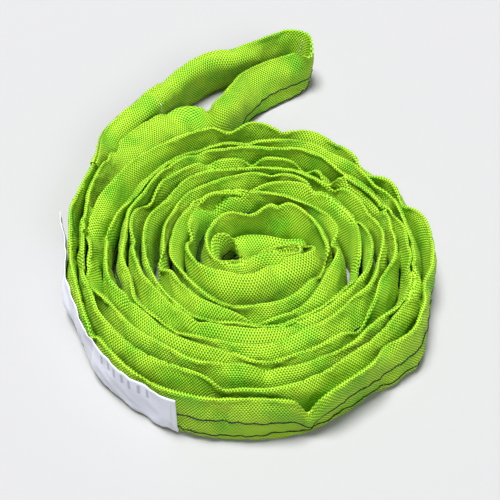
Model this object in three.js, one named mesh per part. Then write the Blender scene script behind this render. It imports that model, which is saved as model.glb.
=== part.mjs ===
import * as THREE from "three";

// Endless round sling for two tonnes, rolled up flat as it is stored.
// A woven tubular sleeve holds a hank of load yarn. The loop is doubled and rolled from its middle,
// so that two runs lie side by side in a spiral, and one bight stays outside the roll.
// Millimetres, +Z up. The sleeve stands on its folded edge, and the whole sling rests on Z = 0.

// Sleeve and core
const SLEEVE_HEIGHT = 57;
const SLEEVE_THICKNESS = 8.8;
const CLOTH = 1.1;
const FOLD_WIDTH = 3.6;
const SHOULDER = 5;
const CORE_HEIGHT = 42;
const CORE_THICKNESS = 4.4;

// Cover over the sleeve's joined ends. The sleeve inside it is raised, so that both rest on the floor.
const COVER_LENGTH = 130;
const COVER_WALL = 0.8;
const COVER_SIDE_ROOM = 1;
const COVER_EDGE_ROOM = 0.35;
const COVER_LIFT = COVER_WALL + COVER_EDGE_ROOM;

// Yarns, threads, tape and label
const CLEARANCE = 0.35;
const MARKER_WIDTH = 1.8;
const MARKER_THICKNESS = 0.5;
const MARKER_DEPTHS = { upper: 27, lower: 46 };
const THREAD = 0.7;
const TAPE_WALL = 0.35;
const TAPE_LENGTH = 50;
const TAPE_FROM_NECK = 35;
const LABEL_HEIGHT = 48;
const LABEL_THICKNESS = 0.8;
const LABEL_STANDOFF = 1.7;
const LABEL_FROM_NECK = 66;
const LABEL_LENGTH = 262;

// Roll: run 0 is the outer of the two runs, and run 1 lies just inside it.
const ROLL_RADIUS = 178.5;
const PITCH = 12.2;
const DRIFT = new THREE.Vector2(1.25, -0.97);
const STEP_ANGLE = 24;
const LEFT = 180;

// Where the bight leaves the roll and bends up: one level line across both runs
const NECK_DIRECTION = new THREE.Vector2(0.39, 0.92).normalize();
const NECK_GAP = 1.4;
const NECK_STRAIGHT = 7;
const NECK_A = [-165, 111.4];
const NECK_B = [-146.7, 103.9];

// Stretches laid by hand, in plan. A third number is how far the sleeve is raised off the floor.
const LOOSE_TURN = [
  [-171.5, 92], [-176, 69.5], [-178.5, 46.5], [-179, 22.5], [-177.5, -2.5], [-173, -29.5],
  [-165, -60.5], [-152.5, -91], [-134, -118], [-110.5, -142], [-82, -160.5], [-50, -171.5],
  [-17, -175.5], [17, -175.5], [48, -170.5], [77.5, -158], [104.5, -140], [131, -119.5],
  [152.5, -93], [167, -63.5], [173, -32], [174, 0], [170.5, 30.5], [163, 58], [150, 80],
  [134.5, 99.5], [117, 116.5], [97.5, 132], [76, 145], [53, 156], [28.5, 164], [4.5, 168.5],
  [-20.5, 168.5], [-45.5, 160.5], [-70.5, 148], [-94.5, 132], [-116, 113.5], [-132, 93],
  [-142, 70.5], [-148, 43], [-150.5, 16],
];
const MIDDLE = [
  [-44, -2.5], [-41.5, -14], [-34.5, -25], [-22.5, -34.5], [-8.5, -38.5], [6, -35.5], [17.5, -27.5],
  [29.5, -23.5], [41.5, -23.5], [50.5, -20], [54, -13], [51, -6], [42.5, -2.5], [30.5, -4],
  [19, -10.5], [7, -19.5], [-6, -25], [-17.5, -24], [-26.5, -17.5], [-31.5, -7], [-30, 4],
  [-22.5, 12.5], [-9.5, 16.5], [8.5, 17], [27, 16], [45, 14], [59, 9], [67, -1], [67.5, -13],
  [61.5, -26], [49, -35], [33, -41], [15.5, -46.5], [-2.5, -50.5], [-20, -49], [-36.5, -41],
  [-50.5, -26.5],
];
const TO_NECK_B = [
  [-165, 0], [-164.5, 24], [-162, 48], [-157.5, 70.5], [-152, 90],
];
const BIGHT = [
  [-134, 129.5], [-120.5, 152.5], [-104.5, 173], [-86.5, 191], [-68, 202.5], [-53.5, 200],
  [-38.5, 202.5], [-25, 216], [-13.5, 235.5], [0, 254.5], [20.5, 270.5], [41, 283], [57, 293.5],
  [63.5, 307], [58, 318.5], [45.5, 322], [29.5, 314], [9, 299], [-13.5, 289], [-37.5, 282],
  [-59, 266], [-80.5, 242, COVER_LIFT], [-101, 217, COVER_LIFT], [-120.5, 192, COVER_LIFT],
  [-137.5, 166, COVER_LIFT], [-152.5, 138.5, COVER_LIFT],
];

const faceOffset = SLEEVE_THICKNESS / 2;

// A route whose stations are given points, each with the mean direction of its two sides.
class Route extends THREE.Curve {
  constructor(points) {
    super();
    this.points = points;
  }
  get steps() {
    return this.points.length - 1;
  }
  getUtoTmapping(u) {
    return u;
  }
  getPoint(t) {
    return this.points[Math.round(t * this.steps)].clone();
  }
  getTangent(t) {
    const i = Math.round(t * this.steps);
    const before = this.points[Math.max(i - 1, 0)];
    const after = this.points[Math.min(i + 1, this.steps)];
    return after.clone().sub(before).normalize();
  }
  toTheRight(station) {
    const along = this.getTangent(station / this.steps);
    return new THREE.Vector3(along.y, -along.x, 0).normalize();
  }
  // The same route moved sideways to the right of its direction, and up or down.
  beside(right, rise = 0) {
    const up = new THREE.Vector3(0, 0, rise);
    return new Route(
      this.points.map((point, i) => this.toTheRight(i).multiplyScalar(right).add(point).add(up)),
    );
  }
  // The part between two lengths measured along the route.
  stretch(from, to) {
    const inside = [];
    const ends = [];
    let walked = 0;
    this.points.slice(1).forEach((point, i) => {
      const before = this.points[i];
      const step = point.distanceTo(before);
      for (const end of [from, to]) {
        if (walked <= end && end < walked + step) {
          ends.push(before.clone().lerp(point, (end - walked) / step));
        }
      }
      walked += step;
      if (walked > from + CLEARANCE && walked < to - CLEARANCE) {
        inside.push(point.clone());
      }
    });
    return new Route([ends[0], ...inside, ends[1]]);
  }
  get length() {
    return this.points.slice(1).reduce((sum, point, i) => sum + point.distanceTo(this.points[i]), 0);
  }
}

function rollPoint(run, azimuth) {
  const layer = (2 * (azimuth - LEFT)) / 360 + run;
  const radius = ROLL_RADIUS - PITCH * layer;
  const angle = THREE.MathUtils.degToRad(azimuth);
  return [DRIFT.x * layer + radius * Math.cos(angle), DRIFT.y * layer + radius * Math.sin(angle)];
}

function rollRun(run, firstTurn, steps) {
  const start = LEFT + 360 * firstTurn + STEP_ANGLE / 2;
  return Array.from({ length: steps }, (_, i) => rollPoint(run, start + STEP_ANGLE * i));
}

// Two points at the neck, so that a run meets the cut there square: the cut itself and one short of it.
function squareEnd([x, y], side, lift = 0) {
  return [NECK_GAP / 2, NECK_STRAIGHT].map((along) => [
    x + side * along * NECK_DIRECTION.x,
    y + side * along * NECK_DIRECTION.y,
    lift,
  ]);
}

function routeThrough(plan) {
  return new Route(plan.map(([x, y, lift = 0]) => new THREE.Vector3(x, y, lift + SLEEVE_HEIGHT / 2)));
}

const coilRoute = routeThrough([
  ...squareEnd(NECK_A, -1, COVER_LIFT),
  ...LOOSE_TURN,
  ...rollRun(0, 1, 59),
  ...MIDDLE,
  ...rollRun(1, 0, 60).reverse(),
  ...TO_NECK_B,
  ...squareEnd(NECK_B, -1).reverse(),
]);
const bightRoute = routeThrough([
  ...squareEnd(NECK_B, 1),
  ...BIGHT,
  ...squareEnd(NECK_A, 1, COVER_LIFT).reverse(),
]);

// A flat tube's outline: two faces, two narrow folded edges and sloping shoulders between them.
function outline(height, thickness, fold, shoulder) {
  const [up, side, edge] = [height / 2, thickness / 2, fold / 2];
  return [
    [up, edge], [up - shoulder, side], [shoulder - up, side], [-up, edge],
    [-up, -edge], [shoulder - up, -side], [up - shoulder, -side], [up, -edge],
  ].map(([x, y]) => new THREE.Vector2(x, y));
}

function box(height, thickness) {
  const [up, side] = [height / 2, thickness / 2];
  return [[up, side], [-up, side], [-up, -side], [up, -side]].map(([x, y]) => new THREE.Vector2(x, y));
}

function cloth(colour, roughness) {
  return new THREE.MeshStandardMaterial({ color: colour, roughness, metalness: 0 });
}

const materials = {
  sleeve: cloth(0x9bd51e, 0.85),
  cover: cloth(0x93cd1c, 0.85),
  core: cloth(0xf2efe4, 0.7),
  marker: cloth(0x14201a, 0.8),
  thread: cloth(0xf4f6f4, 0.6),
  tape: cloth(0xd9c48c, 0.7),
  label: cloth(0xe9ebf4, 0.6),
};

const sling = new THREE.Group();

// Sweeps a section along a route. A hole makes it a tube, open at both ends.
function sweep(name, route, section, material, hole = null) {
  const shape = new THREE.Shape(section);
  if (hole) {
    shape.holes.push(new THREE.Path(hole));
  }
  const geometry = new THREE.ExtrudeGeometry(shape, {
    steps: route.steps,
    extrudePath: route,
    bevelEnabled: false,
  });
  const mesh = new THREE.Mesh(geometry, material);
  mesh.name = name;
  sling.add(mesh);
}

function addSleeve(name, route) {
  sweep(
    name,
    route,
    outline(SLEEVE_HEIGHT, SLEEVE_THICKNESS, FOLD_WIDTH, SHOULDER),
    materials.sleeve,
    outline(SLEEVE_HEIGHT - 2 * CLOTH, SLEEVE_THICKNESS - 2 * CLOTH, FOLD_WIDTH - CLOTH, SHOULDER),
  );
}

function addCore(name, route) {
  sweep(name, route, box(CORE_HEIGHT, CORE_THICKNESS), materials.core);
}

// The two dark yarns of the load rating run on one face of the sleeve only.
function addMarkers(place, route) {
  for (const [which, depth] of Object.entries(MARKER_DEPTHS)) {
    const beside = route.beside(
      faceOffset + CLEARANCE + MARKER_THICKNESS / 2,
      SLEEVE_HEIGHT / 2 - depth,
    );
    sweep(`marker_yarn_${which}_${place}`, beside, box(MARKER_WIDTH, MARKER_THICKNESS), materials.marker);
  }
}

// The sleeve's other end, drawn over the first and sewn down to close the loop.
function addJoinCover() {
  const innerThickness = SLEEVE_THICKNESS + 2 * COVER_SIDE_ROOM;
  const innerHeight = SLEEVE_HEIGHT + 2 * COVER_EDGE_ROOM;
  const inside = outline(innerHeight, innerThickness, SLEEVE_THICKNESS, SHOULDER);
  const outside = outline(
    innerHeight + 2 * COVER_WALL,
    innerThickness + 2 * COVER_WALL,
    SLEEVE_THICKNESS + COVER_WALL,
    SHOULDER,
  );
  const route = bightRoute.stretch(bightRoute.length - COVER_LENGTH, bightRoute.length - NECK_GAP);
  sweep("join_cover", route, outside, materials.cover, inside);
  const face = innerThickness / 2 + COVER_WALL;
  addStitchRow("join_stitching_lower", route, route.steps - 1, -face, 38, 9);
  addStitchRow("join_stitching_upper", route, 1, -face, 38, 9);
}

// A row of lock stitches across a face, as one thread that rises and dips between its stitches.
function addStitchRow(name, route, station, face, height, stitches) {
  const side = Math.sign(face);
  const foot = route.beside(face + side * (CLEARANCE + THREAD / 2)).points[station];
  const out = route.toTheRight(station).multiplyScalar((side * THREAD) / 2);
  const points = [];
  for (let i = 0; i <= 2 * stitches; i++) {
    const rise = new THREE.Vector3(0, 0, height * (i / (2 * stitches) - 0.5));
    points.push(foot.clone().addScaledVector(out, i % 2).add(rise));
  }
  sweep(name, new Route(points), box(THREAD, THREAD), materials.thread);
}

// Tape wound round the hank where the load yarn's two ends are tied in.
function addTape() {
  const to = bightRoute.length - TAPE_FROM_NECK;
  const room = 2 * CLEARANCE;
  const wall = 2 * TAPE_WALL;
  sweep(
    "yarn_end_tape",
    bightRoute.stretch(to - TAPE_LENGTH, to),
    box(CORE_HEIGHT + room + wall, CORE_THICKNESS + room + wall),
    materials.tape,
    box(CORE_HEIGHT + room, CORE_THICKNESS + room),
  );
}

// The label lies on the outer run's outer face. Its far end is sewn down and the near one is loose.
function addLabel() {
  const route = coilRoute.stretch(LABEL_FROM_NECK, LABEL_FROM_NECK + LABEL_LENGTH);
  const labelRoute = route.beside(faceOffset + LABEL_STANDOFF + LABEL_THICKNESS / 2);
  sweep("label", labelRoute, box(LABEL_HEIGHT, LABEL_THICKNESS), materials.label);
  const row = labelRoute.stretch(LABEL_LENGTH - 8, LABEL_LENGTH - 3);
  addStitchRow("label_stitching", row, 0, LABEL_THICKNESS / 2, 40, 9);
}

for (const [place, route] of [["coil", coilRoute], ["bight", bightRoute]]) {
  addSleeve(`sleeve_${place}`, route);
  addCore(`core_${place}`, route);
  addMarkers(place, route);
}
addJoinCover();
addStitchRow("bight_tack", bightRoute, 18, -faceOffset, 34, 8);
addTape();
addLabel();

// The origin is on the floor, under the middle of the sling's box.
const middle = new THREE.Box3().setFromObject(sling).getCenter(new THREE.Vector3());
sling.position.set(-middle.x, -middle.y, 0);

export default sling;
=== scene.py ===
# Endless round sling, rolled up on its edge with one bight left free.
# A soft woven sleeve holds a hank of load yarn. The two run as one loop, which is doubled and rolled
# from the middle. Sizes and places below are in millimetres, in plan, about the middle of the roll.
import math

import bpy
import numpy as np
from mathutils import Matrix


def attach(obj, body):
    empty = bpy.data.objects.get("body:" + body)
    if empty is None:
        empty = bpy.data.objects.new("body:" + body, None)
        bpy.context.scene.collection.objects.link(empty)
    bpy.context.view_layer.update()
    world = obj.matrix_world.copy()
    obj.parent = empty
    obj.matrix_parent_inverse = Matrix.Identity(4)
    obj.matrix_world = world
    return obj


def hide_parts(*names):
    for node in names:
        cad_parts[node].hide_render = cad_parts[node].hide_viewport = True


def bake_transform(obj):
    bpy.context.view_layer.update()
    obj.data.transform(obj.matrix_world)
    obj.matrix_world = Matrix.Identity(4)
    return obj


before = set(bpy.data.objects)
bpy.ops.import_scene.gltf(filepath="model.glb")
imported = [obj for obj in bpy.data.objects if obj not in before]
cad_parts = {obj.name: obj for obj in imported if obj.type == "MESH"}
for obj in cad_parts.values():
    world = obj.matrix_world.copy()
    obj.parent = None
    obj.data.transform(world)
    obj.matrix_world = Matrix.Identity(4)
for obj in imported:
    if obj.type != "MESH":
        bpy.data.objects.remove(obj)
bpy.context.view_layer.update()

MM = 0.001

# Sleeve, core and label
SLEEVE_HEIGHT = 57
SLEEVE_THICKNESS = 10.2
FOLD_RADIUS = 1.5
CORE_INSET = 2.4
RING_SPACING = 3.2
MARKER_DEPTHS = {"upper": 27, "lower": 46}
COVER_LENGTH = 130
TAPE_LENGTH = 50
TAPE_FROM_NECK = 35
LABEL_HEIGHT = 48
LABEL_FROM_NECK = 66
LABEL_LENGTH = 262
LABEL_TICK_SPACING = 9
LABEL_TICKS_ALONG = (175, 240)
LABEL_TICKS_DEEP = (9, 20)

# Cloth simulation of the sleeve: its slack is how much longer the cloth is than the space it lies in
CLOTH_FRAMES = 12
CLOTH_SLACK = -0.06
CLOTH_PRESSURE = 1.0
CLOTH_REACH = 3.0

# Roll
ROLL_RADIUS = 178.5
PITCH = 12.2
DRIFT = (1.25, -0.97)
STEP_ANGLE = 24
LEFT = 180
NECK_A = (-165, 111.4)
NECK_B = (-146.7, 103.9)

LOOSE_TURN = [
    (-171.5, 92), (-176, 69.5), (-178.5, 46.5), (-179, 22.5), (-177.5, -2.5), (-173, -29.5),
    (-165, -60.5), (-152.5, -91), (-134, -118), (-110.5, -142), (-82, -160.5), (-50, -171.5),
    (-17, -175.5), (17, -175.5), (48, -170.5), (77.5, -158), (104.5, -140), (131, -119.5),
    (152.5, -93), (167, -63.5), (173, -32), (174, 0), (170.5, 30.5), (163, 58), (150, 80),
    (134.5, 99.5), (117, 116.5), (97.5, 132), (76, 145), (53, 156), (28.5, 164), (4.5, 168.5),
    (-20.5, 168.5), (-45.5, 160.5), (-70.5, 148), (-94.5, 132), (-116, 113.5), (-132, 93),
    (-142, 70.5), (-148, 43), (-150.5, 16),
]
MIDDLE = [
    (-44, -2.5), (-41.5, -14), (-34.5, -25), (-22.5, -34.5), (-8.5, -38.5), (6, -35.5), (17.5, -27.5),
    (29.5, -23.5), (41.5, -23.5), (50.5, -20), (54, -13), (51, -6), (42.5, -2.5), (30.5, -4),
    (19, -10.5), (7, -19.5), (-6, -25), (-17.5, -24), (-26.5, -17.5), (-31.5, -7), (-30, 4),
    (-22.5, 12.5), (-9.5, 16.5), (8.5, 17), (27, 16), (45, 14), (59, 9), (67, -1), (67.5, -13),
    (61.5, -26), (49, -35), (33, -41), (15.5, -46.5), (-2.5, -50.5), (-20, -49), (-36.5, -41),
    (-50.5, -26.5),
]
TO_NECK_B = [(-165, 0), (-164.5, 24), (-162, 48), (-157.5, 70.5), (-152, 90)]

# How far the top edge leans to the right of the run, and the foot, at the last points before the bight
NECK_LEANS = [(-5, 3), (-8, 5), (-9, 6)]
LEAN_PASSES = 12
NECK_FADE = 40

# The bight's points also say how far the top edge leans to the right of the run, and the foot.
BIGHT = [
    (-134, 129.5, -12, 8), (-120.5, 152.5, -13, 9), (-104.5, 173, -14, 11), (-86.5, 191, -15, 14),
    (-68, 202.5, -17, 17), (-53.5, 200, -19, 19), (-38.5, 202.5, -15, 15), (-25, 216, -8, 9),
    (-13.5, 235.5, -6, 7), (0, 254.5, -7, 8), (20.5, 270.5, -7, 9), (41, 283, -6, 9),
    (57, 293.5, 2, 6), (63.5, 307, 6, 2), (58, 318.5, 8, 0), (45.5, 322, 8, -2), (29.5, 314, 8, -3),
    (9, 299, 7, -2), (-13.5, 289, 6, -2), (-37.5, 282, 8, -3), (-59, 266, 9, -4), (-80.5, 242, 7, -4),
    (-101, 217, 5, -3), (-120.5, 192, 3, -2), (-137.5, 166, 2, -1), (-152.5, 138.5, 2, 0),
]

# Folds and creases, one by one: place, reach along the run, then how far the top edge leans and the
# foot splays to the right of the run, how far the top edge drops, and how far its lip curls over, in
# degrees.
CREASES = [
    (50, -171, 7, 1, 0, 13, 0), (34, -174, 13, 2, 0, -2, 10), (68, -162, 14, 4, 0, -2, -10),
    (150, -98, 22, 2, 9, 2, 0), (126, -123, 15, -5, 3, 6, -20), (170, -50, 18, -4, 0, 4, -10),
    (173, 8, 17, 0, 0, 3, 0), (160, 64, 17, -5, 3, 5, -25), (126, 108, 20, -5, 3, 4, -30),
    (84, 141, 12, 4, 0, 4, 0), (64, 151, 14, 4, -2, 0, 15), (36, 161, 12, -3, 2, 2, -10),
    (4, 168, 14, 3, -2, 0, 10), (-40, 162, 30, 4, -2, 2, 20), (-104, 124, 40, 6, -4, 5, 25),
    (-144, 62, 46, 8, -5, 5, 30), (0, 17, 26, 13, -5, 4, 10), (36, 15, 22, 15, -6, 8, 20),
    (64, 0, 12, 4, 0, 12, 0), (54, -13, 9, -3, 0, 7, 0), (-31, -5, 12, 3, 0, 2, 0),
    (10, -17, 22, 5, 0, 4, 0), (-8, -38, 24, -4, 0, 0, -20), (-20, -49, 24, 7, 0, 3, 30),
    (40, -38, 24, 7, -2, 0, 30), (-33, 45, 24, -14, 0, 8, 0), (0, 53, 20, -9, 0, 6, 0),
    (102, -99, 14, -3, 0, 16, 0), (-22, -159, 13, 2, 0, 15, 0), (-143, -33, 24, 4, 0, 13, 0),
    (85, 92, 13, 8, 0, -2, 60), (62, 112, 12, 3, 0, 12, 0), (-95, 55, 16, 3, 0, 12, 20),
    (-70, -112, 16, -3, 0, 12, 0), (10, -92, 14, 4, 0, 11, -30), (95, -30, 12, -3, 0, 12, 20),
    (30, 50, 6, -5, -5, 2, 0), (-9, 66, 7, -6, -3, 4, 0), (-50, 200, 12, 0, 0, 12, 0),
    (-100, 179, 7, 4, -3, 3, 0), (-80, 195, 6, -3, 3, 0, 0),
]

# Stretches whose upper part is folded over: from one place to another, how gently the fold starts and
# stops, how far the foot and the top edge lie to the right, how far the top edge drops, where the fold
# is as a share of the height, and its angle to the right of the run, in degrees.
FOLDED_OVER = [
    ((-22, 12.5), (60, 8), 16, -11, 2, -20, 0.5, 80),
    ((-41, -14), (45, -24), 14, 0, 0, 6, 0.5, 0),
    ((46, -3), (-31, -7), 14, 0, 0, 14, 0.5, 0),
    ((-134, 129.5), (-56, 201), 14, 2, 0, 0, 0.45, -28),
    ((-30, 210), (60, 300), 20, 2, 0, 2, 0.62, -26),
    ((9, 299), (-150, 138), 32, 9, -1, 0, 0.7, 70),
]
FOLD_SPREAD = 0.09

# Runs moved outwards as a whole, to lie against their neighbour: place, reach along the run, and how far
PRESSED_OUT = [
    (157, 2, 80, 6), (138, -72, 40, 4), (145, 2, 80, 6), (134, 2, 80, 6.5),
    (123, 2, 70, 5.5), (112, 2, 60, 4), (100, 2, 50, 2), (-165, 0, 90, 1.5),
    (-151, 0, 90, 2.5), (-138, 0, 80, 3), (-126, 0, 70, 4.5), (-114, 0, 60, 3.5),
    (-102, 0, 50, 2.5), (-90, 0, 40, 1), (131, -30, 40, 3), (129, -66, 40, 4),
    (120, -30, 40, 2.5),
]

# How far the roll's top edges have slid over its feet, at the front and at the back, the share of it that
# is left at the rim, and the radii between which it fades
SLIDE_DIRECTION = np.array([-0.35, 0.94])
SLIDE_FRONT = 20
SLIDE_BACK = 6
SLIDE_AT_RIM = 0.15
SLIDE_FADE = (118, 174)
SLIDE_POWER = 1.2

# Where the roll has sagged: place, reach and how far
SLUMPS = [(45, -118, 40, 12), (-70, -60, 30, 5), (100, 40, 34, 6), (-10, 95, 30, 5), (-60, 40, 25, 4)]

# Small pinches at random places: how many, and the ranges of their reach, of the top edge's shift to the
# side, of its drop, and of its lip's curl in degrees
PINCHES = 46
PINCH_REACH = (6, 13)
PINCH_SHIFT = (-4, 4)
PINCH_DROP = (3, 11)
PINCH_LIP = (-40, 40)

# Waves along the loop, each with its size, its length and its random seed. The sway and the curl are
# bends in radians, and the rest are millimetres.
TOP_WAVES = [(4.6, 78, 1), (1.8, 31, 2)]
FOOT_WAVES = [(3.4, 85, 3)]
SWAY_WAVES = [(0.28, 60, 4), (0.10, 26, 16)]
CURL_WAVES = [(0.75, 70, 17), (0.35, 30, 18)]
DROP_WAVES = [(1.6, 80, 5), (0.9, 24, 6)]
MEAN_DROP = 0.8

# Creases of the slack cloth on a face: size, slant down the face, wavelength and random seed
SLACK_WAVES = [(1.15, 0.9, 34, 50), (0.8, -0.7, 22, 53), (0.45, 1.6, 13, 56)]

# The bight and the loose outer turn lie calmer than the rest: by this share, between these radii
CALM_SHARE = 0.6
CALM_RADII = (158, 168)

# A run stands taller by up to this much before it lifts off the floor
MOST_STRETCH = 4
STEEPEST_LEAN = 0.8
LIP_FROM = 0.66

# Clearing of neighbouring runs: how far apart along the loop two places are before they count as
# neighbours, how near they lie, the gap kept, and how the work is repeated
NEIGHBOUR_ALONG = 26
NEIGHBOUR_REACH = 46
NEIGHBOUR_GAP = 0.8
CLEAR_SWEEPS = 5
CLEAR_STEPS = 4
CLEAR_OVERSHOOT = 1.4

# Share of the sleeve's height at each course of its rings, from the foot to the top fold
COURSES = np.array([0, 0.025, 0.07, 0.15, 0.25, 0.36, 0.47, 0.58, 0.68, 0.77, 0.85, 0.915, 0.955, 0.985, 1])


def roll_point(run, azimuth):
    layer = 2 * (azimuth - LEFT) / 360 + run
    radius = ROLL_RADIUS - PITCH * layer
    angle = math.radians(azimuth)
    return (DRIFT[0] * layer + radius * math.cos(angle), DRIFT[1] * layer + radius * math.sin(angle))


def roll_run(run, first_turn, steps):
    start = LEFT + 360 * first_turn + STEP_ANGLE / 2
    return [roll_point(run, start + STEP_ANGLE * i) for i in range(steps)]


def smooth_step(low, high, value):
    t = np.clip((value - low) / (high - low), 0, 1)
    return t * t * (3 - 2 * t)


def closed_spline(points):
    """A smooth closed curve through the points, sampled about each millimetre, and where the points are."""
    after = np.roll(points, -1, axis=0)
    gaps = np.linalg.norm(after - points, axis=1)[:, None]
    slopes = (after - points) / gaps
    gaps_before = np.roll(gaps, 1, axis=0)
    tangents = (np.roll(slopes, 1, axis=0) * gaps + slopes * gaps_before) / (gaps + gaps_before)
    samples = []
    starts = []
    for i, gap in enumerate(gaps[:, 0]):
        t = np.arange(math.ceil(gap))[:, None] / math.ceil(gap)
        j = (i + 1) % len(points)
        starts.append(sum(len(part) for part in samples))
        samples.append(
            (1 + 2 * t) * (1 - t) ** 2 * points[i] + t * (1 - t) ** 2 * gap * tangents[i]
            + t * t * (3 - 2 * t) * points[j] + t * t * (t - 1) * gap * tangents[j]
        )
    samples = np.vstack(samples + [samples[0][:1]])
    length = np.concatenate([[0], np.cumsum(np.linalg.norm(np.diff(samples, axis=0), axis=1))])
    return samples, length, length[starts]


def blurred(values, passes):
    """Values along the closed loop, evened out with their neighbours."""
    for _ in range(passes):
        values = 0.25 * np.roll(values, 1, axis=0) + 0.5 * values + 0.25 * np.roll(values, -1, axis=0)
    return values


def lay_route():
    """The loop's stations, from the neck's outer run round the roll and the bight and back."""
    coil = [NECK_A, *LOOSE_TURN, *roll_run(0, 1, 59), *MIDDLE, *roll_run(1, 0, 60)[::-1], *TO_NECK_B]
    plan = np.array(coil + [NECK_B] + [place[:2] for place in BIGHT], float)
    samples, length, at = closed_spline(plan)
    neck = len(coil)
    coil_rings = round(at[neck] / RING_SPACING)
    bight_rings = round((length[-1] - at[neck]) / RING_SPACING)
    s = np.concatenate([
        np.linspace(0, at[neck], coil_rings + 1)[:-1],
        np.linspace(at[neck], length[-1], bight_rings + 1)[:-1],
    ])
    centre = np.stack([np.interp(s, length, samples[:, k]) for k in (0, 1)], axis=1)
    along = np.roll(centre, -1, axis=0) - np.roll(centre, 1, axis=0)
    along /= np.linalg.norm(along, axis=1)[:, None]
    right = np.stack([along[:, 1], -along[:, 0]], axis=1)
    leans = np.zeros((len(plan), 2))
    leans[neck - 2:neck + 1] = NECK_LEANS
    leans[neck + 1:] = [place[2:] for place in BIGHT]
    lean = np.stack([np.interp(s, np.append(at, length[-1]), np.append(leans[:, k], leans[0, k]))
                     for k in (0, 1)], axis=1)
    return s, centre, right, blurred(lean, LEAN_PASSES), coil_rings, length[-1]


station, centre, right, bight_lean, coil_rings, LOOP = lay_route()
into_bight = smooth_step(0, NECK_FADE, station - station[coil_rings] + NECK_FADE)
in_bight = into_bight * smooth_step(0, NECK_FADE, LOOP - station)


def ripple(place, wavelength, seed):
    """Smooth waves of uneven size along the loop, the same each run."""
    count = max(4, round(LOOP / wavelength))
    knots = np.random.RandomState(seed).uniform(-1, 1, count)
    x = np.mod(place / LOOP, 1) * count
    i = np.floor(x).astype(int)
    t = x - i
    a, b, c, d = (knots[(i + k) % count] for k in (-1, 0, 1, 2))
    return b + 0.5 * t * (c - a + t * (2 * a - 5 * b + 4 * c - d + t * (3 * (b - c) + d - a)))


def waves(kinds, level=0):
    """Several ripples together, about a level."""
    return sum((size * ripple(station, wavelength, seed) for size, wavelength, seed in kinds), level)


def nearest_station(x, y):
    return station[np.argmin(np.hypot(centre[:, 0] - x, centre[:, 1] - y))]


def make_courses():
    """Where the middle of the sleeve lies at each course of height: its plan place and its rise."""
    radius = np.linalg.norm(centre, axis=1)
    inward = SLIDE_AT_RIM + (1 - SLIDE_AT_RIM) * (1 - smooth_step(*SLIDE_FADE, radius))
    towards_front = 1 - smooth_step(-160, 150, centre[:, 1])
    slide = (SLIDE_BACK + (SLIDE_FRONT - SLIDE_BACK) * towards_front) * inward * (1 - in_bight)
    calm = 1 - CALM_SHARE * np.maximum(in_bight, smooth_step(*CALM_RADII, radius))
    top = bight_lean[:, 0] + calm * waves(TOP_WAVES)
    foot = bight_lean[:, 1] + waves(FOOT_WAVES)
    sway = waves(SWAY_WAVES)
    curl = calm * waves(CURL_WAVES)
    drop = waves(DROP_WAVES, MEAN_DROP)

    def crease(nearest, reach, top_shift, foot_shift, lowered, lip):
        away = np.abs(station - nearest)
        share = np.exp(-((np.minimum(away, LOOP - away) / reach) ** 2))
        top[:] += share * top_shift
        foot[:] += share * foot_shift
        drop[:] += share * lowered
        curl[:] += share * math.radians(lip)

    for x, y, *folded in CREASES:
        crease(nearest_station(x, y), *folded)
    outward = np.sign(np.sum(centre * right, axis=1))
    for x, y, reach, shift in PRESSED_OUT:
        nearest = nearest_station(x, y)
        shift = shift * outward[station == nearest][0]
        crease(nearest, reach, shift, shift, 0, 0)
    folds = []
    for first, last, fade, foot_shift, top_shift, lowered, height, angle in FOLDED_OVER:
        a, b = nearest_station(*first), nearest_station(*last)
        share = smooth_step(a - fade, a + fade, station) * (1 - smooth_step(b - fade, b + fade, station))
        foot += share * foot_shift
        top += share * top_shift
        drop += share * lowered
        folds.append((height, share * math.radians(angle)))
    chance = np.random.RandomState(40)
    for nearest in chance.uniform(0, LOOP, PINCHES):
        crease(nearest, chance.uniform(*PINCH_REACH), chance.uniform(*PINCH_SHIFT), 0,
               chance.uniform(*PINCH_DROP), chance.uniform(*PINCH_LIP))
    for x, y, reach, lowered in SLUMPS:
        gap = np.hypot(centre[:, 0] - x, centre[:, 1] - y)
        drop += lowered * np.exp(-((gap / reach) ** 2)) * (1 - in_bight)
    lean = np.arcsin(np.clip((top - foot) / SLEEVE_HEIGHT, -STEEPEST_LEAN, STEEPEST_LEAN))
    squash = (1 - np.maximum(drop, -MOST_STRETCH) / SLEEVE_HEIGHT) * np.sqrt(1 - (slide / SLEEVE_HEIGHT) ** 2)
    across = foot.copy()
    rise = np.maximum(-MOST_STRETCH - drop, 0)
    courses = []
    before = 0.0
    for h in COURSES:
        middle = (h + before) / 2
        bend = lean + sway * math.cos(2 * math.pi * middle) + curl * smooth_step(LIP_FROM, 1, middle)
        for height, angle in folds:
            bend = bend + angle * smooth_step(height - FOLD_SPREAD, height + FOLD_SPREAD, middle)
        across = across + (h - before) * SLEEVE_HEIGHT * np.sin(bend)
        rise = rise + (h - before) * SLEEVE_HEIGHT * np.cos(bend) * squash
        slid = SLIDE_DIRECTION * (slide * h ** SLIDE_POWER)[:, None]
        courses.append(np.concatenate([centre + right * across[:, None] + slid, rise[:, None]], axis=1))
        before = h
    return courses


def half_thickness(h):
    """Half the sleeve's thickness at a share of its height: a slack belly between two tight folds, with a
    line pressed in just under the top fold."""
    if h in (0, 1):
        return 0.0
    fold = FOLD_RADIUS * min(1, math.sqrt(min(h, 1 - h) / 0.03))
    belly = (SLEEVE_THICKNESS / 2 - FOLD_RADIUS) * math.sin(math.pi * h ** 0.8) ** 0.9
    pinch = 0.35 * math.exp(-(((h - 0.925) / 0.03) ** 2))
    return fold + belly - pinch


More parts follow.
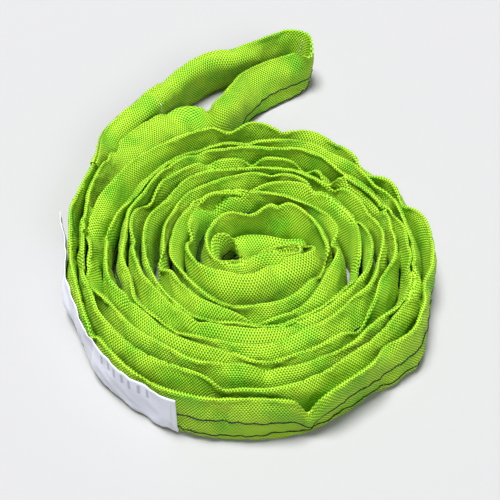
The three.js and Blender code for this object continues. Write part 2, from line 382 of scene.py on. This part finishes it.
def make_thickness():
    """Half the sleeve's thickness to each side of its middle, at each course, with its slack creases."""
    creased = smooth_step(-0.5, 0.6, ripple(station, 110, 7))
    sides = {}
    for side in (1, -1):
        courses = []
        for h in COURSES:
            up = SLEEVE_HEIGHT * h
            slack = sum(size * ripple(station + slant * up, wavelength, seed + side)
                        for size, slant, wavelength, seed in SLACK_WAVES)
            shape = math.sin(math.pi * h) ** 0.6 if 0 < h < 1 else 0
            courses.append(np.maximum(half_thickness(h) + (0.35 + 0.65 * creased) * slack * shape,
                                      min(half_thickness(h), 1.0)))
        sides[side] = courses
    return sides


def push_clear(courses, sides):
    """Moves neighbouring runs apart wherever they would press through each other."""
    gap = np.abs(station[:, None] - station[None, :])
    gap = np.minimum(gap, LOOP - gap)
    close = np.hypot(centre[:, None, 0] - centre[None, :, 0], centre[:, None, 1] - centre[None, :, 1])
    first, second = np.nonzero((gap > NEIGHBOUR_ALONG) & (close < NEIGHBOUR_REACH))
    count = len(station)
    moved = [np.zeros((count, 2)) for _ in COURSES]
    for sweep in range(CLEAR_SWEEPS):
        for k in range(1, len(COURSES)):
            thick = np.maximum(sides[1][k], sides[-1][k])
            room = thick[first] + thick[second] + NEIGHBOUR_GAP
            for _ in range(CLEAR_STEPS):
                place = courses[k][:, :2] + moved[k]
                apart = place[first] - place[second]
                distance = np.linalg.norm(apart, axis=1)
                tight = distance < room
                push = apart[tight] / distance[tight, None] * (0.5 * (room - distance)[tight])[:, None]
                hits = np.bincount(first[tight], minlength=count)
                move = np.stack([np.bincount(first[tight], push[:, a], minlength=count)
                                 for a in (0, 1)], axis=1)
                moved[k] = moved[k] + blurred(CLEAR_OVERSHOOT * move / np.maximum(hits, 1)[:, None], 1)
        if sweep < CLEAR_SWEEPS - 1:
            moved = [0.25 * moved[max(k - 1, 0)] + 0.5 * moved[k] + 0.25 * moved[min(k + 1, len(moved) - 1)]
                     for k in range(len(moved))]
    for k, shift in enumerate(moved):
        courses[k][:, :2] += shift
    return courses


def sleeve_surface():
    """Every ring of the sleeve: down its right face from the top fold, and up its left face."""
    sides = make_thickness()
    courses = push_clear(make_courses(), sides)
    last = len(COURSES) - 1
    order = [(k, 1) for k in range(last, -1, -1)] + [(k, -1) for k in range(1, last)]
    rings = []
    for k, side in order:
        rise = courses[min(k + 1, last)] - courses[max(k - 1, 0)]
        tilt = np.sum(rise[:, :2] * right, axis=1)
        steep = np.hypot(tilt, rise[:, 2])
        thick = side * (sides[side][k] if 0 < k < last else np.zeros(len(station)))
        point = courses[k].copy()
        point[:, :2] += right * (thick * rise[:, 2] / steep)[:, None]
        point[:, 2] -= thick * tilt / steep
        point[:, 2] = np.maximum(point[:, 2], 0.0)
        rings.append(point)
    return np.stack(rings, axis=1), order


# Where the roll's middle lies in the part's own frame
ORIGIN_SHIFT = np.array([3.323, -73.220, 0])


def to_metres(points):
    return (np.asarray(points, float) + ORIGIN_SHIFT) * MM


def new_mesh_object(name, points, faces, uvs=None):
    mesh = bpy.data.meshes.new(name)
    mesh.from_pydata(to_metres(points).tolist(), [], faces)
    if uvs is not None:
        layer = mesh.uv_layers.new(name="cloth")
        layer.data.foreach_set("uv", np.asarray(uvs, np.float32).ravel())
    mesh.polygons.foreach_set("use_smooth", np.ones(len(mesh.polygons), bool))
    mesh.update()
    piece = bpy.data.objects.new(name, mesh)
    bpy.context.scene.collection.objects.link(piece)
    return piece


def relax_cloth(loops):
    """Lets the slack cloth of the whole loop buckle: a short cloth simulation with its folds held."""
    count, around = loops.shape[:2]
    faces = [(i * around + j, i * around + (j + 1) % around,
              (i + 1) % count * around + (j + 1) % around, (i + 1) % count * around + j)
             for i in range(count) for j in range(around)]
    piece = new_mesh_object("slack_sleeve", loops.reshape(-1, 3), faces)
    held = piece.vertex_groups.new(name="folds")
    for j, (k, _) in enumerate(ring_order):
        if COURSES[k] in (0, 1):
            held.add(list(range(j, count * around, around)), 1.0, "REPLACE")
    cloth = piece.modifiers.new("slack", "CLOTH")
    cloth.settings.quality = 4
    cloth.settings.mass = 0.2
    cloth.settings.bending_stiffness = 0.02
    cloth.settings.shrink_min = CLOTH_SLACK
    cloth.settings.vertex_group_mass = held.name
    cloth.settings.use_pressure = True
    cloth.settings.uniform_pressure_force = CLOTH_PRESSURE
    cloth.settings.effector_weights.gravity = 0
    cloth.collision_settings.use_collision = False
    cloth.collision_settings.use_self_collision = True
    cloth.collision_settings.self_distance_min = 0.6 * MM
    cloth.point_cache.frame_end = CLOTH_FRAMES
    for step in range(1, CLOTH_FRAMES + 1):
        bpy.context.scene.frame_set(step)
    settled = piece.evaluated_get(bpy.context.evaluated_depsgraph_get()).data
    points = np.empty(3 * count * around, np.float32)
    settled.vertices.foreach_get("co", points)
    bpy.context.scene.frame_set(1)
    bpy.data.objects.remove(piece)
    move = points.reshape(loops.shape) / MM - ORIGIN_SHIFT - loops
    far = np.linalg.norm(move, axis=2, keepdims=True)
    settled_loops = loops + move * CLOTH_REACH / (CLOTH_REACH + far)
    settled_loops[..., 2] = np.maximum(settled_loops[..., 2], 0)
    return settled_loops


rings, ring_order = sleeve_surface()
rings = relax_cloth(rings)
ARC = np.array([(1 - COURSES[k]) * SLEEVE_HEIGHT if side == 1 else (1 + COURSES[k]) * SLEEVE_HEIGHT
                for k, side in ring_order] + [2 * SLEEVE_HEIGHT])


def face_point(place, depth, side, proud=0.0):
    """Points on a face of the sleeve, at places along the loop and depths below the top fold."""
    columns = [i for i, (k, on) in enumerate(ring_order) if on == side or COURSES[k] in (0, 1)]
    columns.sort(key=lambda i: -COURSES[ring_order[i][0]])
    depths = np.array([(1 - COURSES[ring_order[i][0]]) * SLEEVE_HEIGHT for i in columns])
    place = np.mod(place, LOOP)
    wrapped = np.append(station, LOOP)
    face = np.concatenate([rings[:, columns], rings[:1, columns]])
    i = np.clip(np.searchsorted(wrapped, place, side="right") - 1, 0, len(station) - 1)
    t = ((place - wrapped[i]) / (wrapped[i + 1] - wrapped[i]))[:, None]
    row = face[i] * (1 - t[..., None]) + face[i + 1] * t[..., None]
    j = np.clip(np.searchsorted(depths, depth, side="right") - 1, 0, len(depths) - 2)
    w = ((depth - depths[j]) / (depths[j + 1] - depths[j]))[:, None]
    n = np.arange(len(place))
    point = row[n, j] * (1 - w) + row[n, j + 1] * w
    outward = np.concatenate([right, right[:1]])[i] * side
    point[:, :2] += outward * np.reshape(proud, (-1, 1) if np.ndim(proud) else ())
    return point


def tube_mesh(name, loops, lengths, arc):
    """A closed tube from rings of points, with a cap at each end and its cloth measured in millimetres."""
    count, around = loops.shape[:2]
    faces = []
    uvs = []
    for i in range(count - 1):
        for j in range(around):
            k = (j + 1) % around
            faces.append((i * around + j, i * around + k, (i + 1) * around + k, (i + 1) * around + j))
            uvs += [(lengths[i], arc[j]), (lengths[i], arc[j + 1]),
                    (lengths[i + 1], arc[j + 1]), (lengths[i + 1], arc[j])]
    last = (count - 1) * around
    faces.append(tuple(range(around))[::-1])
    uvs += [(lengths[0], arc[j]) for j in range(around)][::-1]
    faces.append(tuple(last + j for j in range(around)))
    uvs += [(lengths[-1], arc[j]) for j in range(around)]
    return new_mesh_object(name, loops.reshape(-1, 3), faces, uvs)


def linear(code):
    """An sRGB hex colour as linear red, green, blue and alpha."""
    channels = [int(code[i:i + 2], 16) / 255 for i in (0, 2, 4)]
    return [c / 12.92 if c <= 0.04045 else ((c + 0.055) / 1.055) ** 2.4 for c in channels] + [1.0]


def add_node(tree, kind, settings=None, inputs=None):
    """A node with its settings, and with each input given a value or linked to an output."""
    node = tree.nodes.new(kind)
    for key, value in (settings or {}).items():
        setattr(node, key, value)
    for key, value in (inputs or {}).items():
        if isinstance(value, bpy.types.NodeSocket):
            tree.links.new(value, node.inputs[key])
        else:
            node.inputs[key].default_value = value
    return node


def new_material(name, colour, roughness, sheen=0.0):
    material = bpy.data.materials.new(name)
    material.use_nodes = True
    tree = material.node_tree
    shader = tree.nodes["Principled BSDF"]
    shader.inputs["Base Color"].default_value = colour
    shader.inputs["Roughness"].default_value = roughness
    shader.inputs["Sheen Weight"].default_value = sheen
    shader.inputs["Specular IOR Level"].default_value = 0.25
    return material, tree, shader


# Painted shade and light: random noise patches of deeper green stand in for the saturated green of shade
# between the layers, and paler patches for lit cloth; these multiply the cloth's colour there
PAINTED_SHADE_GREEN = (0.55, 0.85, 0.6, 1)
PAINTED_LIGHT_TINT = (1.08, 1.04, 1, 1)
PAINTED_SHADE_PATCH_SIZE = 32


def woven_polyester(name, light, dark, weft_gap=1.4, warp_gap=1.9):
    """Plain-woven polyester tape, heat set: matt ribs along the run, broken into dots by the weft.
    The real yarns are about 1.2 mm apart, and are drawn coarser so that they show."""
    material, tree, shader = new_material(name, linear(light), 0.72, 0.1)
    shader.inputs["Sheen Roughness"].default_value = 0.4
    shader.inputs["Sheen Tint"].default_value = linear("E6FF80")
    cloth = add_node(tree, "ShaderNodeUVMap", {"uv_map": "cloth"}).outputs["UV"]
    split = add_node(tree, "ShaderNodeSeparateXYZ", inputs={"Vector": cloth})

    def wave(axis, spacing):
        turns = add_node(tree, "ShaderNodeMath", {"operation": "MULTIPLY"},
                         {0: split.outputs[axis], 1: 2 * math.pi / spacing}).outputs[0]
        return add_node(tree, "ShaderNodeMath", {"operation": "SINE"}, {0: turns}).outputs[0]

    dots = add_node(tree, "ShaderNodeMath", {"operation": "MULTIPLY"},
                    {0: wave("X", 2 * weft_gap), 1: wave("Y", 2 * warp_gap)}).outputs[0]
    ribs = add_node(tree, "ShaderNodeMath", {"operation": "MULTIPLY_ADD"},
                    {0: wave("Y", warp_gap), 1: 0.35, 2: dots}).outputs[0]
    relief = add_node(tree, "ShaderNodeMapRange", {},
                      {"Value": ribs, "From Min": -0.7, "From Max": 0.8}).outputs["Result"]
    # Painted shade: noise patches darken the cloth to a deeper green and lighten it between, at random places
    # rather than where the shade falls
    painted_shade_patches = add_node(tree, "ShaderNodeTexNoise", {},
                       {"Vector": cloth, "Scale": 1 / PAINTED_SHADE_PATCH_SIZE, "Detail": 2.0})
    yarn = add_node(tree, "ShaderNodeMix", {"data_type": "RGBA"},
                    {"Factor": relief, "A": linear(dark), "B": linear(light)}).outputs["Result"]
    painted_light_share = add_node(tree, "ShaderNodeMapRange", {},
                    {"Value": painted_shade_patches.outputs["Fac"], "From Min": 0.3, "From Max": 0.55}).outputs["Result"]
    tint = add_node(tree, "ShaderNodeMix", {"data_type": "RGBA"},
                    {"Factor": painted_light_share, "A": PAINTED_SHADE_GREEN, "B": PAINTED_LIGHT_TINT}).outputs["Result"]
    shade = add_node(tree, "ShaderNodeVectorMath", {"operation": "MULTIPLY"}, {0: yarn, 1: tint})
    tree.links.new(shade.outputs[0], shader.inputs["Base Color"])
    bump = add_node(tree, "ShaderNodeBump", {}, {"Strength": 1.0, "Distance": 0.8 * MM, "Height": relief})
    tree.links.new(bump.outputs["Normal"], shader.inputs["Normal"])
    return material


# A Wave texture of this scale has its bands about 1 mm apart
BAND_SCALE = 0.3


def spun_yarn(name, colour, dark, spacing=1.5):
    """Twisted yarn: fine slanting strands, with a little more gloss than cloth."""
    material, tree, shader = new_material(name, linear(colour), 0.6, 0.15)
    cloth = add_node(tree, "ShaderNodeUVMap", {"uv_map": "cloth"}).outputs["UV"]
    twist = add_node(tree, "ShaderNodeTexWave", {"wave_type": "BANDS", "bands_direction": "DIAGONAL"},
                     {"Vector": cloth, "Scale": BAND_SCALE / spacing, "Distortion": 0.6})
    tone = add_node(tree, "ShaderNodeMix", {"data_type": "RGBA"},
                    {"Factor": twist.outputs["Fac"], "A": linear(dark), "B": linear(colour)})
    tree.links.new(tone.outputs["Result"], shader.inputs["Base Color"])
    bump = add_node(tree, "ShaderNodeBump", {},
                    {"Strength": 0.5, "Distance": 0.2 * MM, "Height": twist.outputs["Fac"]})
    tree.links.new(bump.outputs["Normal"], shader.inputs["Normal"])
    return material


green_cloth = woven_polyester("woven green polyester", "CDF93A", "237A04")
white_yarn = spun_yarn("undyed polyester filament yarn", "F2EFE4", "CFC9B4")
dark_yarn = spun_yarn("dark green marker yarn", "18241C", "060A08")
pale_thread = spun_yarn("pale sewing thread", "EEF4EC", "C4D0C0", 0.8)
cotton_tape = spun_yarn("cotton cloth tape", "D9C48C", "B59E62")


def finish_piece(piece, material, slot, *replaced):
    piece.data.materials.append(material)
    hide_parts(*replaced)
    return piece


def bend_at_neck(piece):
    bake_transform(piece)


def part_of_loop(values, place):
    """The roll's or the bight's share of the loop, with the station that closes it."""
    if place == "coil":
        return values[:coil_rings + 1]
    return np.concatenate([values[coil_rings:], values[:1]])


def make_sleeve(place):
    lengths = part_of_loop(station, place).copy()
    if place == "bight":
        lengths[-1] = LOOP
    piece = tube_mesh(f"woven_sleeve_{place}", part_of_loop(rings, place), lengths, ARC)
    return finish_piece(piece, green_cloth, "sleeve", f"sleeve_{place}")


def core_rings(loops):
    """The hank's surface inside rings of the sleeve: drawn in from both faces and clear of the folds."""
    kept = [i for i, (k, _) in enumerate(ring_order) if 0.1 < COURSES[k] < 0.9]
    across = [ring_order.index((ring_order[i][0], -ring_order[i][1])) for i in kept]
    middle = (loops[:, kept] + loops[:, across]) / 2
    out = loops[:, kept] - middle
    reach = np.linalg.norm(out, axis=2, keepdims=True)
    return middle + out / np.maximum(reach, 0.01) * np.maximum(reach - CORE_INSET, 0.3)


def make_core(place):
    """The hank of load yarn lies inside the sleeve, clear of its folds."""
    loops = core_rings(part_of_loop(rings, place)[::2])
    lengths = part_of_loop(station, place)[::2].copy()
    arc = np.linspace(0, 2 * SLEEVE_HEIGHT, loops.shape[1] + 1)
    return finish_piece(tube_mesh(f"load_yarn_{place}", loops, lengths, arc), white_yarn, "core",
                        f"core_{place}")


def strand(name, path, radius, sides=6):
    """A round yarn along a path, closed at both ends."""
    path = np.asarray(path, float)
    along = np.gradient(path, axis=0)
    along /= np.linalg.norm(along, axis=1)[:, None]
    flat = np.cross(along, [0, 0, 1])
    size = np.linalg.norm(flat, axis=1)[:, None]
    flat = np.where(size > 0.2, flat / np.maximum(size, 0.01), [1, 0, 0])
    other = np.cross(flat, along)
    turn = 2 * math.pi * np.arange(sides) / sides
    loops = (path[:, None] + radius * (np.cos(turn)[None, :, None] * flat[:, None]
                                       + np.sin(turn)[None, :, None] * other[:, None]))
    lengths = np.concatenate([[0], np.cumsum(np.linalg.norm(np.diff(path, axis=0), axis=1))])
    return tube_mesh(name, loops, lengths, 2 * math.pi * radius * np.arange(sides + 1) / sides)


# The sleeve turns about its core on the bight's near run and carries the markers down: by how much, and
# between which distances from the neck each share of that fades
MARKER_TURNS = [(18, 120, 280), (10, 300, 400)]
MARKER_TURN_START = (-10, 20)
MARKER_DEEPEST = 55
MARKER_RADIUS = 0.75
MARKER_PROUD = 0.15


def make_marker(which, place):
    lengths = part_of_loop(station, place).copy()
    if place == "bight":
        lengths[-1] = LOOP - 0.01
    wander = 0.7 * np.sin(2 * math.pi * lengths / 14.3) + 1.4 * ripple(lengths, 160, 21 + len(which))
    from_neck = lengths - station[coil_rings]
    turned = smooth_step(*MARKER_TURN_START, from_neck) * sum(
        turn * (1 - smooth_step(start, end, from_neck)) for turn, start, end in MARKER_TURNS)
    depth = np.minimum(MARKER_DEPTHS[which] + wander + turned, MARKER_DEEPEST)
    path = face_point(lengths, depth, 1, MARKER_PROUD)
    piece = strand(f"marker_yarn_{which}_on_{place}", path, MARKER_RADIUS)
    return finish_piece(piece, dark_yarn, "marker", f"marker_yarn_{which}_{place}")


for part in ("coil", "bight"):
    pieces = [make_sleeve(part), make_core(part)]
    pieces += [make_marker(which, part) for which in MARKER_DEPTHS]
    for piece in pieces:
        if part == "coil":
            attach(piece, "coil")
        else:
            bend_at_neck(piece)


def shell_mesh(name, outer, inner, lengths, arc):
    """An open tube with a wall, from matching rings of its outside and its inside."""
    count, around = outer.shape[:2]
    half = count * around
    end = half - around
    faces = []
    for j in range(around):
        k = (j + 1) % around
        for i in range(0, end, around):
            faces.append((i + j, i + k, i + around + k, i + around + j))
            faces.append((half + i + around + j, half + i + around + k, half + i + k, half + i + j))
        faces.append((half + j, half + k, k, j))
        faces.append((end + j, end + k, half + end + k, half + end + j))
    uvs = [(lengths[corner % half // around], arc[corner % around]) for face in faces for corner in face]
    return new_mesh_object(name, np.concatenate([outer.reshape(-1, 3), inner.reshape(-1, 3)]), faces, uvs)


def grown(loops, amount):
    """Rings of points moved outwards from their own surface: by one amount, or by one for each ring."""
    around = np.roll(loops, -1, axis=1) - np.roll(loops, 1, axis=1)
    along = np.gradient(loops, axis=0)
    out = np.cross(along, around)
    out /= np.maximum(np.linalg.norm(out, axis=2, keepdims=True), 1e-6)
    middle = loops.mean(axis=1, keepdims=True)
    if np.sum(out * (loops - middle)) < 0:
        out = -out
    return loops + out * np.reshape(amount, (-1, 1, 1))


def sleeve_rings(lengths):
    """Rings of the sleeve's surface at any places along the loop."""
    wrapped = np.append(station, LOOP)
    closed = np.concatenate([rings, rings[:1]])
    i = np.clip(np.searchsorted(wrapped, lengths, side="right") - 1, 0, len(station) - 1)
    t = ((lengths - wrapped[i]) / (wrapped[i + 1] - wrapped[i]))[:, None, None]
    return closed[i] * (1 - t) + closed[i + 1] * t


# Walls of the join cover and of the tape: how far the inside and the outside stand off what is under them
COVER_WALL = (0.35, 1.25)
COVER_FLARE = 1.1
COVER_FLARE_LENGTH = 16
TAPE_WALL = (0.15, 0.6)


def make_join_cover():
    """The sleeve's other end, drawn over the first: its cut edge stands off the run at the neck."""
    lengths = np.linspace(LOOP - COVER_LENGTH, LOOP - 0.01, 46)
    loops = sleeve_rings(lengths)
    flare = COVER_FLARE * smooth_step(LOOP - COVER_FLARE_LENGTH, LOOP, lengths)
    inner, outer = (grown(loops, off + flare) for off in COVER_WALL)
    for wall in (inner, outer):
        wall[..., 2] = np.maximum(wall[..., 2], 0)
    piece = shell_mesh("join_cover_cloth", outer, inner, lengths, ARC)
    finish_piece(piece, green_cloth, "cover", "join_cover")
    bend_at_neck(piece)


def make_tape():
    """Tape wound round the hank, over the knots of the load yarn's two ends."""
    to = LOOP - TAPE_FROM_NECK
    lengths = np.linspace(to - TAPE_LENGTH, to, 22)
    loops = core_rings(sleeve_rings(lengths))
    arc = np.linspace(0, 2 * SLEEVE_HEIGHT, loops.shape[1] + 1)
    inner, outer = (grown(loops, off) for off in TAPE_WALL)
    piece = shell_mesh("yarn_end_wrap", outer, inner, lengths, arc)
    bend_at_neck(finish_piece(piece, cotton_tape, "tape", "yarn_end_tape"))


THREAD_RADIUS = 0.42
STITCH_RISE = 0.5
STITCH_STEPS = 10


def stitch_row(name, replaced, place, side, deep, high, stitches, proud):
    """Short bright stitches in a row down a face, with the thread passing under between them."""
    depth = np.linspace(deep, deep + high, stitches * STITCH_STEPS + 1)
    phase = np.linspace(0, stitches * 2 * math.pi, len(depth))
    over = proud + STITCH_RISE / 2 + STITCH_RISE * np.sin(phase)
    path = face_point(np.full(len(depth), float(place)), depth, side, over)
    return finish_piece(strand(name, path, THREAD_RADIUS), pale_thread, "thread", replaced)


make_join_cover()
make_tape()
for name, place in (("join_stitching_lower", LOOP - 5), ("join_stitching_upper", LOOP - COVER_LENGTH + 6)):
    bend_at_neck(stitch_row(name.replace("join_", "join_thread_"), name, place, side=-1,
                            deep=8, high=38, stitches=9, proud=1.2))
bend_at_neck(stitch_row("bight_tack_thread", "bight_tack", LOOP - 322, side=-1,
                        deep=10, high=34, stitches=8, proud=0.0))


def coated_label(name, colour):
    """Coated label cloth: smooth and pale, with a faint row of plain ticks where its table is printed."""
    material, tree, shader = new_material(name, linear(colour), 0.5, 0.1)
    cloth = add_node(tree, "ShaderNodeUVMap", {"uv_map": "cloth"}).outputs["UV"]
    split = add_node(tree, "ShaderNodeSeparateXYZ", inputs={"Vector": cloth})

    def between(axis, low, high):
        above = add_node(tree, "ShaderNodeMath", {"operation": "GREATER_THAN"},
                         {0: split.outputs[axis], 1: low})
        below = add_node(tree, "ShaderNodeMath", {"operation": "LESS_THAN"},
                         {0: split.outputs[axis], 1: high})
        return add_node(tree, "ShaderNodeMath", {"operation": "MULTIPLY"},
                        {0: above.outputs[0], 1: below.outputs[0]}).outputs[0]

    turns = add_node(tree, "ShaderNodeMath", {"operation": "MULTIPLY"},
                     {0: split.outputs["X"], 1: 2 * math.pi / LABEL_TICK_SPACING})
    ticks = add_node(tree, "ShaderNodeMath", {"operation": "SINE"}, {0: turns.outputs[0]})
    along = between("X", *(LABEL_FROM_NECK + place for place in LABEL_TICKS_ALONG))
    row = add_node(tree, "ShaderNodeMath", {"operation": "MULTIPLY"},
                   {0: along, 1: between("Y", *LABEL_TICKS_DEEP)})
    marks = add_node(tree, "ShaderNodeMath", {"operation": "MULTIPLY", "use_clamp": True},
                     {0: row.outputs[0], 1: ticks.outputs[0]})
    print_colour = add_node(tree, "ShaderNodeMix", {"data_type": "RGBA"},
                            {"Factor": marks.outputs[0], "A": linear(colour), "B": linear("A9ADC0")})
    tree.links.new(print_colour.outputs["Result"], shader.inputs["Base Color"])
    grain = add_node(tree, "ShaderNodeTexNoise", {}, {"Vector": cloth, "Scale": 0.8, "Detail": 4.0})
    bump = add_node(tree, "ShaderNodeBump", {},
                    {"Strength": 0.25, "Distance": 0.2 * MM, "Height": grain.outputs["Fac"]})
    tree.links.new(bump.outputs["Normal"], shader.inputs["Normal"])
    return material


label_cloth = coated_label("coated label cloth", "DCDFEB")


# The label stands off the sleeve a little, more at its loose end, and hides most of the sleeve's wrinkles
LABEL_STAND_OFF = 2.1
LABEL_STAND_OFF_BULGE = 1.9
LABEL_WRINKLE = 0.15
LABEL_LOOSE_LENGTH = 55
LABEL_LOOSE_STAND_OFF = 6.5
LABEL_EVEN_SHARE = 0.65
LABEL_THICKNESS = 0.6
LABEL_STEADY_DEPTH = 20.0


def make_label():
    """The label follows the outer face from its sewn end, and stands off at its loose end."""
    lengths = np.linspace(LABEL_FROM_NECK, LABEL_FROM_NECK + LABEL_LENGTH, 100)
    low = (SLEEVE_HEIGHT - LABEL_HEIGHT) / 2
    depths = np.linspace(low, low + LABEL_HEIGHT, 17)
    loose = 1 - smooth_step(LABEL_FROM_NECK, LABEL_FROM_NECK + LABEL_LOOSE_LENGTH, lengths)
    wrinkle = LABEL_WRINKLE * ripple(lengths, 26, 31)
    grid = []
    near = np.clip(np.searchsorted(station, lengths), 0, len(station) - 1)
    flat = face_point(lengths, np.full(len(lengths), LABEL_STEADY_DEPTH), 1)
    for depth in depths:
        own = face_point(lengths, np.full(len(lengths), depth), 1)
        bulge = np.sum((own - flat)[:, :2] * right[near], axis=1)
        stand_off = np.maximum(LABEL_STAND_OFF_BULGE - bulge / 2, LABEL_STAND_OFF)
        stand_off = stand_off + wrinkle + LABEL_LOOSE_STAND_OFF * loose ** 1.5
        point = own.copy()
        point[:, :2] += right[near] * stand_off[:, None]
        even = SLEEVE_HEIGHT - 1.5 - depth * 0.97
        point[:, 2] = (1 - LABEL_EVEN_SHARE) * own[:, 2] + LABEL_EVEN_SHARE * even
        grid.append(point)
    grid = np.stack(grid, axis=1)
    rows, columns = grid.shape[:2]
    faces = []
    uvs = []
    for i in range(rows - 1):
        for j in range(columns - 1):
            corners = [(i, j), (i, j + 1), (i + 1, j + 1), (i + 1, j)]
            faces.append([a * columns + b for a, b in corners])
            uvs += [(lengths[a], depths[b]) for a, b in corners]
    piece = new_mesh_object("sewn_label", grid.reshape(-1, 3), faces, uvs)
    thickness = piece.modifiers.new("cloth thickness", "SOLIDIFY")
    thickness.thickness = LABEL_THICKNESS * MM
    thickness.offset = 1
    bpy.context.view_layer.objects.active = piece
    bpy.ops.object.modifier_apply(modifier=thickness.name)
    finish_piece(piece, label_cloth, "label", "label")
    return piece


# Two places at these distances from the label's sewn end, taken at its middle depth, are worked out but not
# used
LABEL_BEND = (8.0, 60.0)
LABEL_MIDDLE_DEPTH = 28.0


def bend_at_label_end(piece):
    sewn_end = LABEL_FROM_NECK + LABEL_LENGTH
    places = np.array([sewn_end - distance for distance in LABEL_BEND])
    start, end = to_metres(face_point(places, np.full(len(places), LABEL_MIDDLE_DEPTH), 1))
    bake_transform(piece)


bpy.ops.object.select_all(action="DESELECT")
bend_at_label_end(make_label())
bend_at_label_end(stitch_row("label_thread", "label_stitching", LABEL_FROM_NECK + LABEL_LENGTH - 5, side=1,
                             deep=8, high=40, stitches=9, proud=2.6))

# Camera, floor and lights. The view's tilt is down from level, and its target is in the roll's plan.
VIEW_TILT = math.radians(50.3)
VIEW_DISTANCE = 1023.3
VIEW_TARGET = (-1.9, 17.2, 28.4)
LENS = 73.65

# The studio, in metres
STUDIO_RADIUS = 5
FLOOR_THICKNESS = 0.02
FLOOR_GAP = 0.0004
WALL_HEIGHT = 2.4


def place_camera():
    target = to_metres(VIEW_TARGET)
    back = np.array([0, -math.cos(VIEW_TILT), math.sin(VIEW_TILT)])
    bpy.ops.object.camera_add(location=target + back * VIEW_DISTANCE * MM,
                              rotation=(math.pi / 2 - VIEW_TILT, 0, 0))
    camera = bpy.context.object
    camera.data.lens = LENS
    camera.data.clip_start = 0.01
    bpy.context.scene.camera = camera


def place_studio():
    material, _, _ = new_material("matt white paper", linear("AFAFB0"), 0.9)
    bpy.ops.mesh.primitive_cylinder_add(vertices=96, radius=STUDIO_RADIUS, depth=FLOOR_THICKNESS,
                                        location=(0, 0, -FLOOR_THICKNESS / 2 - FLOOR_GAP))
    floor = bpy.context.object
    floor.name = "studio_floor"
    bpy.ops.mesh.primitive_cylinder_add(vertices=96, radius=STUDIO_RADIUS, depth=WALL_HEIGHT,
                                        end_fill_type="NOTHING", location=(0, 0, WALL_HEIGHT / 2))
    wall = bpy.context.object
    wall.name = "studio_wall"
    for stage in (floor, wall):
        stage.data.materials.append(material)


def place_light(name, location, spread, strength):
    """A distant soft light, so that the floor is lit evenly."""
    bpy.ops.object.light_add(type="SUN", location=location)
    light = bpy.context.object
    light.name = name
    light.data.angle = math.radians(spread)
    light.data.energy = strength
    across = math.hypot(location[0], location[1])
    heading = math.atan2(-location[0], location[1]) + math.pi
    light.rotation_euler = (math.atan2(across, location[2]), 0, heading)


place_camera()
place_studio()
place_light("overhead softbox", (-0.3, 0.2, 1.9), 22, 5.2)
place_light("front fill", (0.8, -1.4, 1.05), 30, 1.35)
world = bpy.context.scene.world or bpy.data.worlds.new("studio")
bpy.context.scene.world = world
world.use_nodes = True
world.node_tree.nodes["Background"].inputs["Color"].default_value = linear("FBFCFF")
world.node_tree.nodes["Background"].inputs["Strength"].default_value = 0.1
bpy.context.scene.view_settings.view_transform = "Standard"
